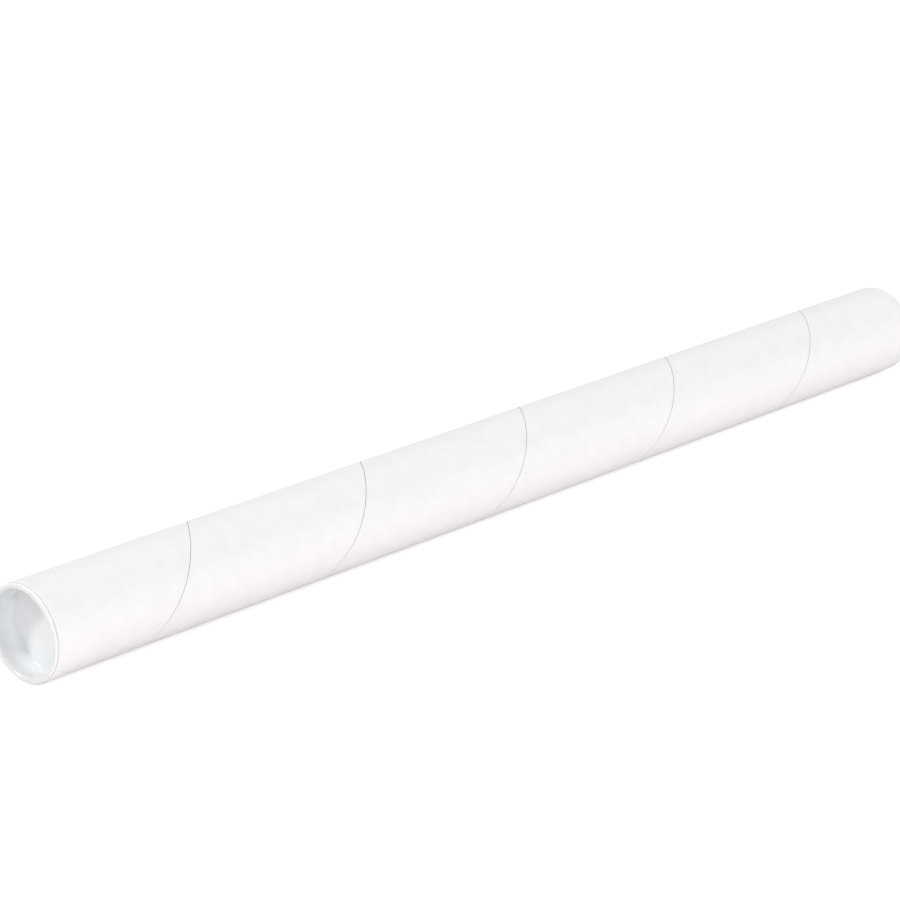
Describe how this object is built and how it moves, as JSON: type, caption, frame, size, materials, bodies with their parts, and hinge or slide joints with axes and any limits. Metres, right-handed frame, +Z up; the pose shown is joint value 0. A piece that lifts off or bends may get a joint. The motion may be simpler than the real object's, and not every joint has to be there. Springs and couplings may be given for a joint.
{
  "type": "cardboard mailing tube",
  "caption": "Long round paper mailing tube, spiral wound, lying on its side, with a flanged cup-shaped plastic plug closing each end.",
  "frame": {"origin": "under the middle of the tube, on the surface it lies on", "axes": "+X along the tube, from the front plug to the back plug; +Z up, away from the surface it lies on"},
  "size_m": [0.7028, 0.0536, 0.0536],
  "materials": {
    "tube_paper": "smooth white paper face on spiral-wound paperboard, matte with a faint satin sheen",
    "plug_plastic": "moulded natural low-density polyethylene, milky, slightly bluish, soft satin gloss"
  },
  "bodies": {
    "tube": {"tube_body": "tube_paper"},
    "front_plug": {"front_plug": "plug_plastic"},
    "back_plug": {"back_plug": "plug_plastic"}
  },
  "joints": [
    {"name": "front_plug_slide", "type": "slide", "parent": "tube", "child": "front_plug", "axis": [-1, 0, 0], "range_m": [0, 0.03]},
    {"name": "back_plug_slide", "type": "slide", "parent": "tube", "child": "back_plug", "axis": [1, 0, 0], "range_m": [0, 0.03]}
  ]
}
